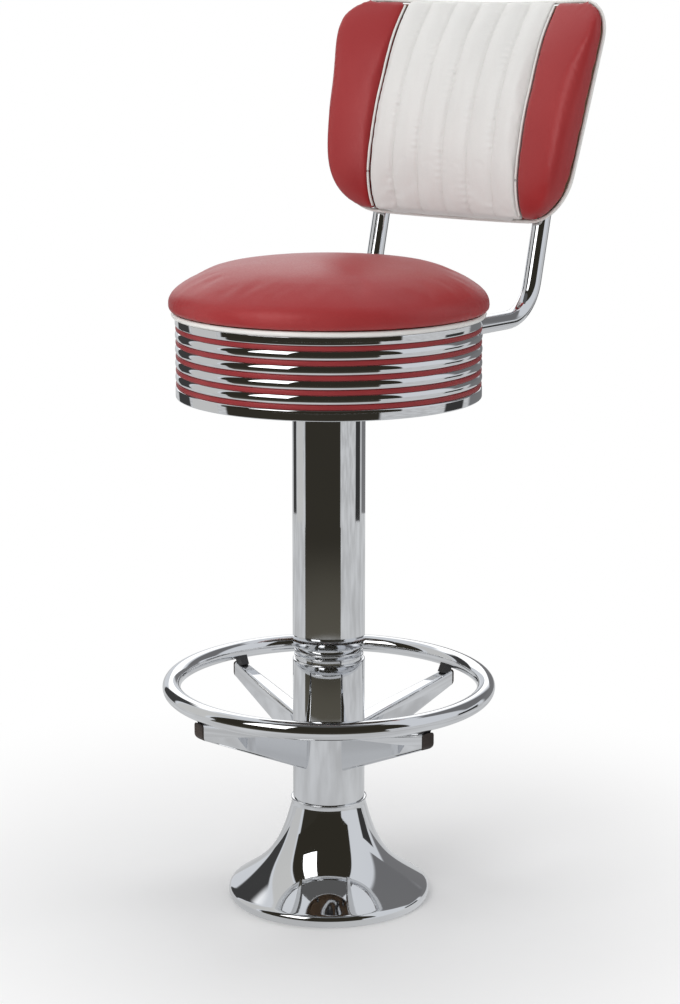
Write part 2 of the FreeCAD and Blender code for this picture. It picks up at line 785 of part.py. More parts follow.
def centre_section(v, out):
    # flat seams between six rounded channels; the back lies on the board
    half = centre_half - seam_gap
    edges = []
    step = 2 * half / channel_count
    crown = min(channel_crown, 0.4 * (out - back_board_w))

    def front(u, lift=0.0):
        return V(u, v, front_face(u, out) + lift)
    for i in range(channel_count):
        u0 = -half + i * step
        u1 = u0 + step
        if i == 0:
            u0 += welt_seat
        if i == channel_count - 1:
            u1 -= welt_seat
        edges.append(arc(front(u0), front((u0 + u1) / 2, crown), front(u1)))
    seat_w, back_w = front_face(half, out) - welt_seat, board_front(half) + seam_gap
    seat_w = max(seat_w, back_w + least_edge)
    back_left, back_right = V(-half, v, back_w), V(half, v, back_w)
    edges += lines([front(half - welt_seat), V(half, v, seat_w), back_right])
    edges.append(arc(back_right, V(0, v, board_front(0) + seam_gap), back_left))
    edges += lines([back_left, V(-half, v, seat_w), front(-half + welt_seat)])
    return Part.Wire(edges)


def cheek_depth(out):
    # padding in front of the board beside the white section
    return max(front_face(centre_half, out) - board_front(centre_half), cheek_least)


def cheek_section(v, out, s):
    inner, outer = centre_half + seam_gap, half_width(v)
    depth = cheek_depth(out)
    roll = min(cheek_roll, 0.45 * depth)
    a = V(s * inner, v, board_front(inner) + seam_gap)
    d = V(s * (inner + welt_seat), v, board_front(inner) + depth)
    e = V(s * inner, v, board_front(inner) + max(depth - welt_seat, seam_gap + least_edge))
    c = V(s * (outer - roll), v, board_front(outer - roll) + cheek_share * depth)
    b = V(s * (outer - cheek_edge_in), v, board_front(outer) + seam_gap)
    middle_front = (d + c) * 0.5 + V(0, 0, cheek_front_bow * depth)
    middle_side = (c + b) * 0.5 + V(s * (cheek_corner_bow * roll + cheek_bulge), 0, cheek_side_bow * depth)
    u = (inner + outer) / 2
    middle_back = V(s * u, v, board_front(u) + seam_gap)
    edges = lines([a, e, d]) + [arc(d, middle_front, c), arc(c, middle_side, b), arc(b, middle_back, a)]
    return Part.Wire(edges)


def back_centre():
    return placed(Part.makeLoft([centre_section(v, d) for v, d in back_crown], True, False))


def back_cheek(s):
    return placed(Part.makeLoft([cheek_section(v, d, s) for v, d in back_crown], True, False))


def rear_section(v, share):
    edge = half_width(v, rear_edge_in)
    front_w, mid_w = board_back(edge), board_back(0)
    flat = min(frame_half + frame_r + rear_cover, edge - rear_slope_in)
    depth = share * (mid_w + post_behind + frame_r + rear_cover)
    a, b = V(-edge, v, front_w), V(edge, v, front_w)
    c, d = V(flat, v, mid_w - depth), V(-flat, v, mid_w - depth)
    out = V(rear_bulge * (front_w - c.z), 0, -rear_bulge * (edge - flat))
    edges = [arc(a, V(0, v, mid_w), b), arc(b, (b + c) * 0.5 + out, c),
             arc(c, V(0, v, mid_w - depth - rear_crown), d),
             arc(d, (a + d) * 0.5 + V(-out.x, 0, out.z), a)]
    return Part.Wire(edges)


def back_rear_pad():
    pad = placed(Part.makeLoft([rear_section(v, share) for v, share in rear_levels], True, False))
    posts = frame_points()
    cutters = []
    for end, corner in ((posts[0], posts[1]), (posts[-1], posts[-2])):
        run = end - corner
        cutters.append(Part.makeCylinder(frame_r + pad_gap, run.Length + frame_r, corner, run))
    for s in (-1, 1):
        for v in spacer_levels():
            well = Part.makeCylinder(screw_well_r, 2 * back_reach, V(s * frame_half, v, -back_reach))
            cutters.append(placed(well))
    return pad.cut(cutters)


def back_spacers():
    spacers = []
    for s in (-1, 1):
        for v in spacer_levels():
            w0, w1 = -post_behind, board_front(frame_half) - back_board_t
            block = Part.makeCylinder(back_spacer_r, w1 - w0 + back_board_t, V(s * frame_half, v, w0))
            spacers.append(placed(block))
    posts = frame_points()
    result = []
    cutters = [placed(h) for h in back_screw_holes()]
    cutters.append(placed(bent_slab(back_reach, -back_board_t)))
    for end, corner in ((posts[0], posts[1]), (posts[-1], posts[-2])):
        cutters.append(Part.makeCylinder(frame_r, (end - corner).Length + frame_r, corner, end - corner))
    for block in spacers:
        result += block.cut(cutters).Solids
    return group(result)


def back_screws():
    screws = []
    for s in (-1, 1):
        for v in spacer_levels():
            seat = -post_behind - frame_r
            screw = pan_screw(board_front(frame_half) - back_board_t * 0.25 - seat)
            screw.translate(V(s * frame_half, v, seat))
            screws.append(placed(screw))
    return group(screws)


def back_welt_ring():
    band = outline_prism(-welt_out, -back_reach, back_reach)
    band = band.cut(outline_prism(board_in - fit_gap, -2 * back_reach, 2 * back_reach))
    slab = bent_slab(-back_board_t / 2 + back_welt / 2, -back_board_t / 2 - back_welt / 2)
    return placed(band.common(slab))


def inner_welt(s):
    # cord along the seam between the white and red parts, drawn in straight spans
    curve = Part.BSplineCurve()
    w = board_front(centre_half) + inner_welt_out
    curve.interpolate([V(s * centre_half, v, w + cheek_depth(out)) for v, out in back_crown])
    rings = []
    for i in range(inner_welt_spans + 1):
        t = curve.FirstParameter + (curve.LastParameter - curve.FirstParameter) * i / inner_welt_spans
        rings.append(Part.Wire(Part.makeCircle(inner_welt_r, curve.value(t), curve.tangent(t)[0])))
    return placed(Part.makeLoft(rings, True, True))


def main():
    os.makedirs("parts", exist_ok=True)
    save("floor_flange", floor_flange())
    save("bell_cover", bell_cover())
    save("centre_post", sleeve(post_r, post_r - post_wall, flange_t, column_top))
    save("lower_sleeve", tube_with_lip(column_r, sleeve_wall, flange_t, sleeve_top, True))
    save("collar_ring", collar_ring())
    save("column_tube", tube_with_lip(column_r, tube_wall, tube_bottom, column_top, False))
    for i, z in enumerate(spacer_heights):
        save("spacer_ring_%d" % (i + 1), spacer(z))
    arms = around(foot_arm(), arm_count, arm_clock)
    caps = around(arm_cap(), arm_count, arm_clock)
    for i in range(arm_count):
        save("foot_arm_%d" % (i + 1), arms[i])
        save("arm_cap_%d" % (i + 1), caps[i])
    save("foot_ring", foot_ring())
    save("ring_saddles", group(around(ring_saddle(), arm_count, arm_clock)))
    save("bearing_housing", bearing_housing())
    save("upper_bush", bush(housing_top - bush_l))
    save("lower_bush", bush(column_top - housing_l))
    save("lower_race", race(housing_top))
    save("thrust_balls", balls())
    save("ball_cage", ball_cage())
    save("upper_race", race(hub_bottom - race_t))
    save("spindle", spindle())
    save("spindle_washer", spindle_washer())
    save("spindle_nut", spindle_nut())
    save("swivel_plate", swivel_plate())
    save("plate_screws", group(plate_screws()))
    save("seat_board", seat_board())
    save("seat_cushion", seat_cushion())
    save("seat_welt", seat_welt())
    save("seat_ring", seat_ring())
    for i in range(strip_count):
        save("trim_strip_%d" % (i + 1), trim_strip(i))
    save("ring_brackets", ring_brackets())
    save("bracket_screws", group(bracket_screws()))
    save("back_frame", back_frame())
    save("frame_clamps", frame_clamps())
    save("clamp_screws", group(clamp_screws()))
    save("back_board", back_board())
    save("back_centre_cushion", back_centre())
    save("back_left_cheek", back_cheek(-1))
    save("back_right_cheek", back_cheek(1))
    save("back_rear_pad", back_rear_pad())
    save("back_spacers", back_spacers())
    save("back_screws", back_screws())
    save("back_welt", back_welt_ring())
    save("inner_welt_left", inner_welt(-1))
    save("inner_welt_right", inner_welt(1))


main()
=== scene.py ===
import json
import math
import random

import bmesh
import bpy
import numpy as np
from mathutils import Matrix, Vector
from mathutils.bvhtree import BVHTree


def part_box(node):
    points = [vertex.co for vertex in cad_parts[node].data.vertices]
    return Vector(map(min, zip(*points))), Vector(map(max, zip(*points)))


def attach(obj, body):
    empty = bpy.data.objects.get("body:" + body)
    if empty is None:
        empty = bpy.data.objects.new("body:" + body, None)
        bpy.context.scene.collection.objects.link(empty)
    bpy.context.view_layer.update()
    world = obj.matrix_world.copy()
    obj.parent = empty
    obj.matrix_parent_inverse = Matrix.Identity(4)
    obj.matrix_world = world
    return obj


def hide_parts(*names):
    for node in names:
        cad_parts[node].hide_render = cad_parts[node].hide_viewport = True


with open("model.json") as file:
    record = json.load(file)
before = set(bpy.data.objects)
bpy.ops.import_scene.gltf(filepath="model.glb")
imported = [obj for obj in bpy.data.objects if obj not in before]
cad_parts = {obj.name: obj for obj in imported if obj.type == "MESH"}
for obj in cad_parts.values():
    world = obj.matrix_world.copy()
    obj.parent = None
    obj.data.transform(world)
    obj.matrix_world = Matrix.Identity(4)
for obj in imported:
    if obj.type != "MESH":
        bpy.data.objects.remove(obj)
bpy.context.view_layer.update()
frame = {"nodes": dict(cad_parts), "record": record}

nodes = frame["nodes"]
mm = 0.001


# Camera, at the photograph's angle

camera = {"azimuth": 39.0, "distance": 2.872, "height": 1.123, "pitch": 12.21, "lens": 86.49,
          "shift": 0.01116}


def newObject(name, data):
    made = bpy.data.objects.new(name, data)
    bpy.context.scene.collection.objects.link(made)
    return made


def viewDirection(degrees):
    # level direction from the column, 0 towards the camera and positive to its right
    angle = math.radians(degrees + camera["azimuth"] - 90)
    return Vector((math.cos(angle), math.sin(angle), 0))


def makeCamera():
    data = bpy.data.cameras.new("camera")
    data.lens = camera["lens"]
    data.sensor_width = 36
    data.shift_x = camera["shift"]
    data.clip_end = 100
    seen = newObject("camera", data)
    seen.location = viewDirection(0) * camera["distance"] + Vector((0, 0, camera["height"]))
    seen.rotation_euler = (math.radians(90 - camera["pitch"]), 0, math.radians(camera["azimuth"]))
    bpy.context.scene.camera = seen


# Sums on node sockets

class Wire:
    # wraps a socket: wire * 2 adds a Math node, and make() adds any other node
    def __init__(self, tree, socket=None):
        self.tree, self.socket = tree, socket

    def make(self, kind, settings=None, inputs=None, output=0):
        node = self.tree.nodes.new(kind)
        for name, value in (settings or {}).items():
            if name == "stops":
                ramp = node.color_ramp.elements
                while len(ramp) < len(value):
                    ramp.new(0.5)
                for element, (place, colour) in zip(ramp, value):
                    element.position, element.color = place, colour
            else:
                setattr(node, name, value)
        for key, value in (inputs or {}).items():
            if isinstance(value, Wire):
                self.tree.links.new(value.socket, node.inputs[key])
            else:
                node.inputs[key].default_value = value
        return Wire(self.tree, node.outputs[output] if node.outputs else None)

    def math(self, operation, *values):
        return self.make("ShaderNodeMath", {"operation": operation}, dict(enumerate(values)))

    def vector(self, operation, *values, output=0):
        return self.make("ShaderNodeVectorMath", {"operation": operation}, dict(enumerate(values)), output)

    def mix(self, factor, a, b):
        return self.make("ShaderNodeMix", {"data_type": "RGBA"}, {0: factor, 6: a, 7: b}, 2)

    def noise(self, place, scale, detail=3.0, roughness=0.5):
        return self.make("ShaderNodeTexNoise", None,
                         {"Vector": place, "Scale": scale, "Detail": detail, "Roughness": roughness})

    def beside(self, name):             # another output of the same node
        return Wire(self.tree, self.socket.node.outputs[name])

    def steps(self, low, high):         # 0 under low, 1 over high, smooth between
        return self.make("ShaderNodeMapRange", {"interpolation_type": "SMOOTHSTEP"},
                         {"Value": self, "From Min": low, "From Max": high})

    def __add__(self, other): return self.math("ADD", self, other)
    def __radd__(self, other): return self.math("ADD", other, self)
    def __sub__(self, other): return self.math("SUBTRACT", self, other)
    def __rsub__(self, other): return self.math("SUBTRACT", other, self)
    def __mul__(self, other): return self.math("MULTIPLY", self, other)
    def __rmul__(self, other): return self.math("MULTIPLY", other, self)


def newMaterial(name, metallic=0.0, specular=0.5, coat=0.0):
    made = bpy.data.materials.new(name)
    made.use_nodes = True
    shader = made.node_tree.nodes["Principled BSDF"]
    shader.inputs["Metallic"].default_value = metallic
    shader.inputs["Specular IOR Level"].default_value = specular
    shader.inputs["Coat Weight"].default_value = coat
    wire = Wire(made.node_tree)
    place = wire.make("ShaderNodeTexCoord", None, None, "Object")
    return made, wire, place, shader


def fit(wire, shader, colour, roughness, height=None, distance=1e-4):
    wire.tree.links.new(colour.socket, shader.inputs["Base Color"])
    wire.tree.links.new(roughness.socket, shader.inputs["Roughness"])
    if height is not None:
        bump = wire.make("ShaderNodeBump", None, {"Height": height, "Distance": distance, "Strength": 1.0})
        wire.tree.links.new(bump.socket, shader.inputs["Normal"])


def rgb(*values):
    return tuple(values) + (1.0,)


# Materials

def chromePlate():
    made, wire, place, shader = newMaterial("chromePlate", metallic=1.0)
    cloud = wire.noise(place, 7.0, 2.0).steps(0.35, 0.75)
    wipe = wire.noise(wire.vector("MULTIPLY", place, (60.0, 60.0, 9.0)), 1.0, 6.0, 0.65).steps(0.48, 0.85)
    colour = wire.mix(cloud, rgb(0.80, 0.81, 0.83), rgb(0.84, 0.85, 0.86))
    roughness = 0.022 + 0.02 * cloud + 0.035 * wipe
    wave = wire.noise(place, 5.5, 1.0)
    peel = wire.noise(place, 160.0, 2.0)
    fit(wire, shader, colour, roughness, wave + 0.012 * peel, 4e-4)
    return made


def vinyl(name, dark, light, roughness, specular):
    made, wire, place, shader = newMaterial(name, specular=specular)
    patch = wire.noise(place, 11.0, 4.0).steps(0.3, 0.7)
    fleck = wire.noise(place, 420.0, 3.0).steps(0.35, 0.7)
    colour = wire.mix(0.7 * patch + 0.3 * fleck, rgb(*dark), rgb(*light))
    grain = wire.make("ShaderNodeTexVoronoi", {"feature": "SMOOTH_F1"}, {"Vector": place, "Scale": 900.0})
    pore = wire.noise(place, 1500.0, 3.0)
    crease = wire.noise(wire.vector("MULTIPLY", place, (1.0, 1.0, 0.4)), 60.0, 3.0)
    fit(wire, shader, colour, roughness + 0.06 * patch - 0.05 * fleck,
        grain + 0.5 * pore + 1.2 * crease, 6e-5)
    return made


def softPlastic(name, dark, light, roughness):
    made, wire, place, shader = newMaterial(name, specular=0.4)
    cloud = wire.noise(place, 35.0, 4.0).steps(0.3, 0.7)
    grit = wire.noise(place, 700.0, 3.0)
    colour = wire.mix(cloud, rgb(*dark), rgb(*light))
    fit(wire, shader, colour, roughness + 0.1 * grit, grit + 0.6 * cloud, 6e-5)
    return made


def blackPaint():
    made, wire, place, shader = newMaterial("blackPaint", specular=0.5)
    cloud = wire.noise(place, 20.0, 4.0)
    peel = wire.noise(place, 330.0, 2.0)
    dust = wire.noise(place, 90.0, 8.0, 0.7).steps(0.55, 0.8)
    colour = wire.mix(0.25 * dust, rgb(0.018, 0.018, 0.02), rgb(0.16, 0.15, 0.14))
    fit(wire, shader, colour, 0.28 + 0.12 * cloud + 0.2 * dust, peel, 8e-5)
    return made


def zincSteel():
    made, wire, place, shader = newMaterial("zincSteel", metallic=1.0)
    cloud = wire.noise(place, 60.0, 5.0)
    turn = wire.noise(wire.vector("MULTIPLY", place, (90.0, 90.0, 2600.0)), 1.0, 2.0)
    colour = wire.mix(cloud, rgb(0.42, 0.43, 0.45), rgb(0.62, 0.62, 0.6))
    fit(wire, shader, colour, 0.26 + 0.2 * cloud, turn + cloud, 4e-5)
    return made


def sinteredBronze():
    made, wire, place, shader = newMaterial("sinteredBronze", metallic=1.0)
    pore = wire.noise(place, 1400.0, 3.0).steps(0.3, 0.6)
    cloud = wire.noise(place, 45.0, 4.0)
    colour = wire.mix(0.5 * pore + 0.5 * cloud, rgb(0.3, 0.19, 0.08), rgb(0.6, 0.42, 0.2))
    fit(wire, shader, colour, 0.36 + 0.2 * cloud, pore, 6e-5)
    return made


def birchPly():
    made, wire, place, shader = newMaterial("birchPly", specular=0.3)
    along = wire.vector("MULTIPLY", place, (9.0, 150.0, 150.0))
    grain = wire.noise(along, 1.0, 6.0, 0.6).steps(0.3, 0.75)
    plies = wire.make("ShaderNodeTexWave", {"bands_direction": "Z"},
                      {"Vector": place, "Scale": 105.0, "Distortion": 1.5, "Detail": 2.0}, 1)
    face = wire.mix(grain, rgb(0.16, 0.10, 0.055), rgb(0.10, 0.06, 0.03))
    colour = wire.mix(0.3 * plies, face, rgb(0.06, 0.035, 0.02))
    fit(wire, shader, colour, 0.55 + 0.15 * grain, grain, 1e-4)
    return made


paint = {
    "chrome": chromePlate(),
    "black_paint": blackPaint(),
    "machined_steel": zincSteel(),
    "bronze": sinteredBronze(),
    "dark_plastic": softPlastic("capPlastic", (0.022, 0.014, 0.011), (0.05, 0.034, 0.026), 0.42),
    "plywood": birchPly(),
    "red_vinyl": vinyl("redVinyl", (0.31, 0.020, 0.022), (0.335, 0.026, 0.027), 0.40, 0.5),
    "red_inlay": softPlastic("redInlay", (0.25, 0.022, 0.025), (0.28, 0.027, 0.03), 0.34),
    "white_vinyl": vinyl("whiteVinyl", (0.70, 0.695, 0.675), (0.73, 0.725, 0.705), 0.42, 0.45),
    "white_piping": vinyl("whitePiping", (0.74, 0.73, 0.70), (0.77, 0.76, 0.73), 0.36, 0.45),
}
print("materials:", len(paint))


# Meshes

def addPiece(name, mesh, slot, body, replaced=()):
    piece = newObject(name, mesh)
    mesh.materials.clear()
    mesh.materials.append(paint[slot])
    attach(piece, body)
    if replaced:
        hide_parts(*replaced)
    return piece


def smooth(mesh, degrees=35):
    mesh.polygons.foreach_set("use_smooth", [True] * len(mesh.polygons))
    mesh.set_sharp_from_angle(angle=math.radians(degrees))
    mesh.update()
    return mesh


def meshFrom(name, points, faces):
    mesh = bpy.data.meshes.new(name)
    mesh.from_pydata([tuple(p) for p in points], [], faces)
    mesh.update()
    return mesh


def outward(mesh):
    # every face turned to point out of the closed shell
    work = bmesh.new()
    work.from_mesh(mesh)
    bmesh.ops.recalc_face_normals(work, faces=work.faces)
    work.to_mesh(mesh)
    work.free()
    return mesh


def arc(x, z, radius, start, end, count):
    # points on a round edge, angles in degrees from the level
    return [(x + radius * math.cos(a), z + radius * math.sin(a))
            for a in np.radians(np.linspace(start, end, count))]


def spun(name, profile, steps, degrees=35):
    # closed profile of (radius, height) in millimetres, turned round the column's axis
    points, faces, count = [], [], len(profile)
    for i in range(steps):
        angle = 2 * math.pi * i / steps
        for r, z in profile:
            points.append((r * mm * math.cos(angle), r * mm * math.sin(angle), z * mm))
    for i in range(steps):
        for k in range(count):
            a, b = i * count, (i + 1) % steps * count
            n = (k + 1) % count
            faces.append((a + k, b + k, b + n, a + n))
    return smooth(outward(meshFrom(name, points, faces)), degrees)


def roundPath(corners, steps=6):
    # (radius, height, fillet) corners joined by straight runs and round corners
    path, count = [], len(corners)
    for i, (x, y, r) in enumerate(corners):
        here = Vector((x, y))
        if r <= 0:
            path.append((x, y))
            continue
        before, after = Vector(corners[i - 1][:2]), Vector(corners[(i + 1) % count][:2])
        a, b = (before - here).normalized(), (after - here).normalized()
        half = a.angle(b) / 2
        centre = here + (a + b).normalized() * r / math.sin(half)
        p, q = here + a * r / math.tan(half) - centre, here + b * r / math.tan(half) - centre
        for s in range(steps + 1):
            mixed = p.lerp(q, s / steps)
            path.append(tuple(centre + mixed.normalized() * r))
    return path


def splineThrough(knots, count):
    # natural cubic through the knots, by chord length
    knots = np.array(knots, float)
    t = np.concatenate([[0], np.cumsum(np.linalg.norm(np.diff(knots, axis=0), axis=1))])
    n, h = len(t), np.diff(t)
    grid, right = np.eye(n), np.zeros_like(knots)
    for i in range(1, n - 1):
        grid[i, i - 1:i + 2] = h[i - 1], 2 * (h[i - 1] + h[i]), h[i]
        right[i] = 6 * ((knots[i + 1] - knots[i]) / h[i] - (knots[i] - knots[i - 1]) / h[i - 1])
    bend = np.linalg.solve(grid, right)
    places = np.linspace(0, t[-1], count)
    found = []
    for s in places:
        i = min(int(np.searchsorted(t, s, side="right")) - 1, n - 2)
        a, b = (t[i + 1] - s) / h[i], (s - t[i]) / h[i]
        found.append(a * knots[i] + b * knots[i + 1]
                     + ((a ** 3 - a) * bend[i] + (b ** 3 - b) * bend[i + 1]) * h[i] ** 2 / 6)
    return found


def smoothCopy(node, slot, body):
    # the CAD mesh with its doubles merged, so that round faces shade as round
    copy = bmesh.new()
    copy.from_mesh(nodes[node].data)
    bmesh.ops.remove_doubles(copy, verts=copy.verts, dist=1e-6)
    bmesh.ops.dissolve_degenerate(copy, edges=copy.edges, dist=1e-7)
    mesh = bpy.data.meshes.new(node + "_shown")
    copy.to_mesh(mesh)
    copy.free()
    return addPiece(node + "_shown", smooth(mesh, 30), slot, body, [node])


def radiusOf(node):
    low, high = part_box(node)
    return max(high.x, -low.x) / mm


# Pedestal

# flare and rim: how far out from the neck, and how high
bell = {"gap": 0.15, "wall": 1.2, "neck": 122.0, "top": 126.0, "bead": 1.4, "beadArc": (85.94, -68.75),
        "flare": ((0.3, 120.0), (11.3, 84.0), (30.7, 50.0), (75.5, 14.0)),
        "rim": ((78.2, 11.6), (79.6, 5.0), (77.6, 0.0)), "steps": 288}


def makeBell():
    neck = radiusOf("lower_sleeve") + bell["gap"] + bell["wall"]
    outer = splineThrough([(neck + out, z) for out, z in bell["flare"]], 60)
    outer += splineThrough([outer[-1]] + [(neck + out, z) for out, z in bell["rim"]], 10)[1:]
    inner = [(r - bell["wall"], max(z, 0.0)) for r, z in reversed(outer)]
    profile = [(neck - bell["wall"], bell["top"] + bell["bead"])]
    profile += arc(neck, bell["top"], bell["bead"], *bell["beadArc"], 12)
    profile += [(neck, bell["neck"])] + outer + inner
    addPiece("bell", spun("bell", profile, bell["steps"], 50), "chrome", "pedestal", ["bell_cover"])


column = {"steps": 200, "lip": 1.5, "edge": 0.3, "sleeveWall": 2.5, "tubeWall": 2.0}


def makeColumn():
    # the sleeve is rolled over at its top, the upper tube at its foot
    for node, wall, top, foot in (("lower_sleeve", column["sleeveWall"], column["lip"], column["edge"]),
                                  ("column_tube", column["tubeWall"], column["edge"], column["lip"])):
        low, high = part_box(node)
        r, z0, z1 = high.x / mm, low.z / mm, high.z / mm
        profile = roundPath([(r, z0, foot), (r, z1, top), (r - wall, z1, 0), (r - wall, z0, 0)])
        addPiece(node + "_shown", spun(node, profile, column["steps"]), "chrome", "pedestal", [node])


collar = {"waist": 2.9, "bead": 1.2, "heights": (5.5, 11.0), "height": 17.0, "spigot": 8.0, "bore": 32.0}


def makeCollar():
    r = radiusOf("lower_sleeve") - collar["waist"]
    z0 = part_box("lower_sleeve")[1].z / mm
    profile = [(collar["bore"], z0 - collar["spigot"]), (r, z0 - collar["spigot"])]
    for height in collar["heights"]:
        profile += arc(r, z0 + height, collar["bead"], -82, 82, 13)
    end = z0 + collar["height"] + collar["spigot"]
    profile += [(r, end), (collar["bore"], end)]
    addPiece("collar", spun("collar", profile, column["steps"], 40), "chrome", "pedestal", ["collar_ring"])


footRing = {"steps": 288, "sides": 48}


def makeFootRing():
    low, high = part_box("foot_ring")
    tube = (high.z - low.z) / 2 / mm
    centre, z = high.x / mm - tube, (high.z + low.z) / 2 / mm
    profile = arc(centre, z, tube, 0, 360, footRing["sides"] + 1)[:-1]
    addPiece("foot_rest", spun("foot_rest", profile, footRing["steps"]), "chrome", "pedestal", ["foot_ring"])


# Seat ring

ring = {"top": 730.5, "bottom": 634.0, "crest": 184.4, "groove": 182.2, "wall": 1.5, "topBand": 10.5,
        "strip": 5.6, "rib": 11.25, "count": 5, "steps": 288, "lip": 1.3}
inlay = {"play": 0.05, "lift": 0.02, "foot": 0.3, "out": 1.35}


def makeSeatRing():
    crest, groove, lip = ring["crest"], ring["groove"], ring["lip"]
    sink = crest - groove
    inner = groove - ring["wall"]
    half = ring["rib"] / 2
    bulge = (half ** 2 + sink ** 2) / (2 * sink)            # each rib is a flat arc between two grooves
    spread = math.degrees(math.asin(half / bulge))
    z = ring["top"] - ring["topBand"]
    profile = [(inner, ring["top"])] + arc(crest - lip, ring["top"] - lip, lip, 90, 0, 7)
    profile += arc(crest - sink, z + sink, sink, 0, -70, 8)
    strips = []
    for i in range(ring["count"]):
        strips.append(z)
        profile += [(groove, z), (groove, z - ring["strip"])]
        z -= ring["strip"]
        if i < ring["count"] - 1:
            profile += arc(crest - bulge, z - half, bulge, spread, -spread, 15)[1:-1]
            z -= ring["rib"]
    profile += arc(crest - sink, z - sink, sink, 80, 0, 8)
    profile += arc(crest - lip, ring["bottom"] + lip, lip, 0, -90, 7)
    profile.append((inner, ring["bottom"]))
    addPiece("ribbed_ring", spun("ribbed_ring", profile, ring["steps"], 32), "chrome", "seat", ["seat_ring"])
    for i, top in enumerate(strips):
        makeInlay(i + 1, top)


def makeInlay(number, top):
    foot = ring["groove"] + inlay["lift"]
    edge = [(foot, top - inlay["play"]), (foot, top - ring["strip"] + inlay["play"])]
    half = ring["strip"] / 2 - inlay["play"]
    for a in np.radians(np.linspace(-90, 90, 11)):
        bulge = inlay["out"] * max(math.cos(a), 0) ** 0.6
        edge.append((ring["groove"] + inlay["foot"] + bulge, top - ring["strip"] / 2 + half * math.sin(a)))
    name = "inlay_%d" % number
    addPiece(name, spun(name, edge, ring["steps"], 40), "red_inlay", "seat", ["trim_strip_%d" % number])


# Piping: a round cord along a closed or open path

def cordMesh(name, path, radius, sides=12, closed=True):
    count, points, faces = len(path), [], []
    for i, p in enumerate(path):
        before = path[i - 1] if closed or i > 0 else p
        after = path[(i + 1) % count] if closed or i < count - 1 else p
        along = (after - before).normalized()
        side = along.cross(Vector((0, 0, 1)))
        if side.length < 1e-4:
            side = Vector((1, 0, 0))
        side.normalize()
        up = side.cross(along).normalized()
        for k in range(sides):
            angle = 2 * math.pi * k / sides
            points.append(p + radius * (side * math.cos(angle) + up * math.sin(angle)))
    spans = count if closed else count - 1
    for i in range(spans):
        a, b = i * sides, (i + 1) % count * sides
        for k in range(sides):
            n = (k + 1) % sides
            faces.append((a + k, b + k, b + n, a + n))
    if not closed:
        faces.append(tuple(range(sides)))
        faces.append(tuple(range(len(points) - 1, len(points) - sides - 1, -1)))
    return smooth(outward(meshFrom(name, points, faces)), 50)


seatWelt = {"radius": 3.1, "ring": 185.8, "height": 733.7, "steps": 360, "sides": 14}


def makeSeatWelt():
    path = []
    for i in range(seatWelt["steps"]):
        angle = 2 * math.pi * i / seatWelt["steps"]
        r = seatWelt["ring"] + 0.12 * math.sin(9 * angle) + 0.08 * math.sin(23 * angle + 1)
        z = seatWelt["height"] + 0.15 * math.sin(7 * angle + 2)
        path.append(Vector((r * math.cos(angle), r * math.sin(angle), z)) * mm)
    cord = cordMesh("seat_piping", path, seatWelt["radius"] * mm, seatWelt["sides"])
    addPiece("seat_piping", cord, "white_piping", "seat", ["seat_welt"])


# Backrest frame: u to the side, v up the back, w towards the sitter

recline = math.radians(13.5)
backOrigin = np.array((0.0, 0.275, 0.963))
backAxes = np.array(((1, 0, 0),
                     (0, math.sin(recline), math.cos(recline)),
                     (0, -math.cos(recline), math.sin(recline))))


def toBack(points):
    return (np.asarray(points) - backOrigin) @ backAxes.T / mm


def fromBack(places):
    return np.asarray(places) * mm @ backAxes + backOrigin


outline = {"top": 139.0, "bottom": -136.5, "topHalf": 205.0, "bottomHalf": 177.0, "topCorner": 50.0,
           "bottomCorner": 58.0}


def halfWidth(v, inset=0.0):
    top, bottom = outline["top"] - inset, outline["bottom"] + inset
    t = (v - outline["bottom"]) / (outline["top"] - outline["bottom"])
    side = outline["bottomHalf"] + t * (outline["topHalf"] - outline["bottomHalf"]) - inset
    r = np.where(v > 0, outline["topCorner"], outline["bottomCorner"])
    over = np.maximum(0.0, np.maximum(v - (top - r), (bottom + r) - v))
    return side - (r - np.sqrt(np.maximum(0.0, r * r - over * over)))


board = {"front": -7.0, "bend": 700.0}


def boardFront(u):
    return board["front"] + board["bend"] - np.sqrt(board["bend"] ** 2 - np.asarray(u) ** 2)


def outlinePath(inset, w, steps=360):
    # closed path round the backrest's outline, evenly spaced
    loose = []
    for v in np.linspace(outline["bottom"] + inset, outline["top"] - inset, 400):
        loose.append((float(halfWidth(v, inset)), v))
    loose = loose + [(-u, v) for u, v in reversed(loose)]
    loose = np.array(loose)
    gaps = np.linalg.norm(np.diff(np.vstack([loose, loose[:1]]), axis=0), axis=1)
    run = np.concatenate([[0], np.cumsum(gaps)])
    even = np.linspace(0, run[-1], steps, endpoint=False)
    ends = np.vstack([loose, loose[:1]])
    u = np.interp(even, run, ends[:, 0])
    v = np.interp(even, run, ends[:, 1])
    return [Vector(p) for p in fromBack(np.stack([u, v, boardFront(u) + w], 1))]


# Stuffed pieces: a copy of the CAD solid, swollen as cloth, capped and made finer

def readPoints(mesh):
    flat = np.empty(len(mesh.vertices) * 3)
    mesh.vertices.foreach_get("co", flat)
    return flat.reshape(-1, 3)


def writePoints(mesh, points):
    mesh.vertices.foreach_set("co", np.ascontiguousarray(points).ravel())
    mesh.update()


def normalsOf(mesh):
    flat = np.empty(len(mesh.vertices) * 3)
    mesh.vertex_normals.foreach_get("vector", flat)
    return flat.reshape(-1, 3)


def settled(piece):
    graph = bpy.context.evaluated_depsgraph_get()
    mesh = bpy.data.meshes.new_from_object(piece.evaluated_get(graph))
    piece.modifiers.clear()
    old = piece.data
    piece.data = mesh
    bpy.data.meshes.remove(old)
    return mesh


def eased(piece, rounds):
    even = piece.modifiers.new("eased", "SMOOTH")
    even.iterations, even.factor = rounds, 0.5
    return settled(piece)


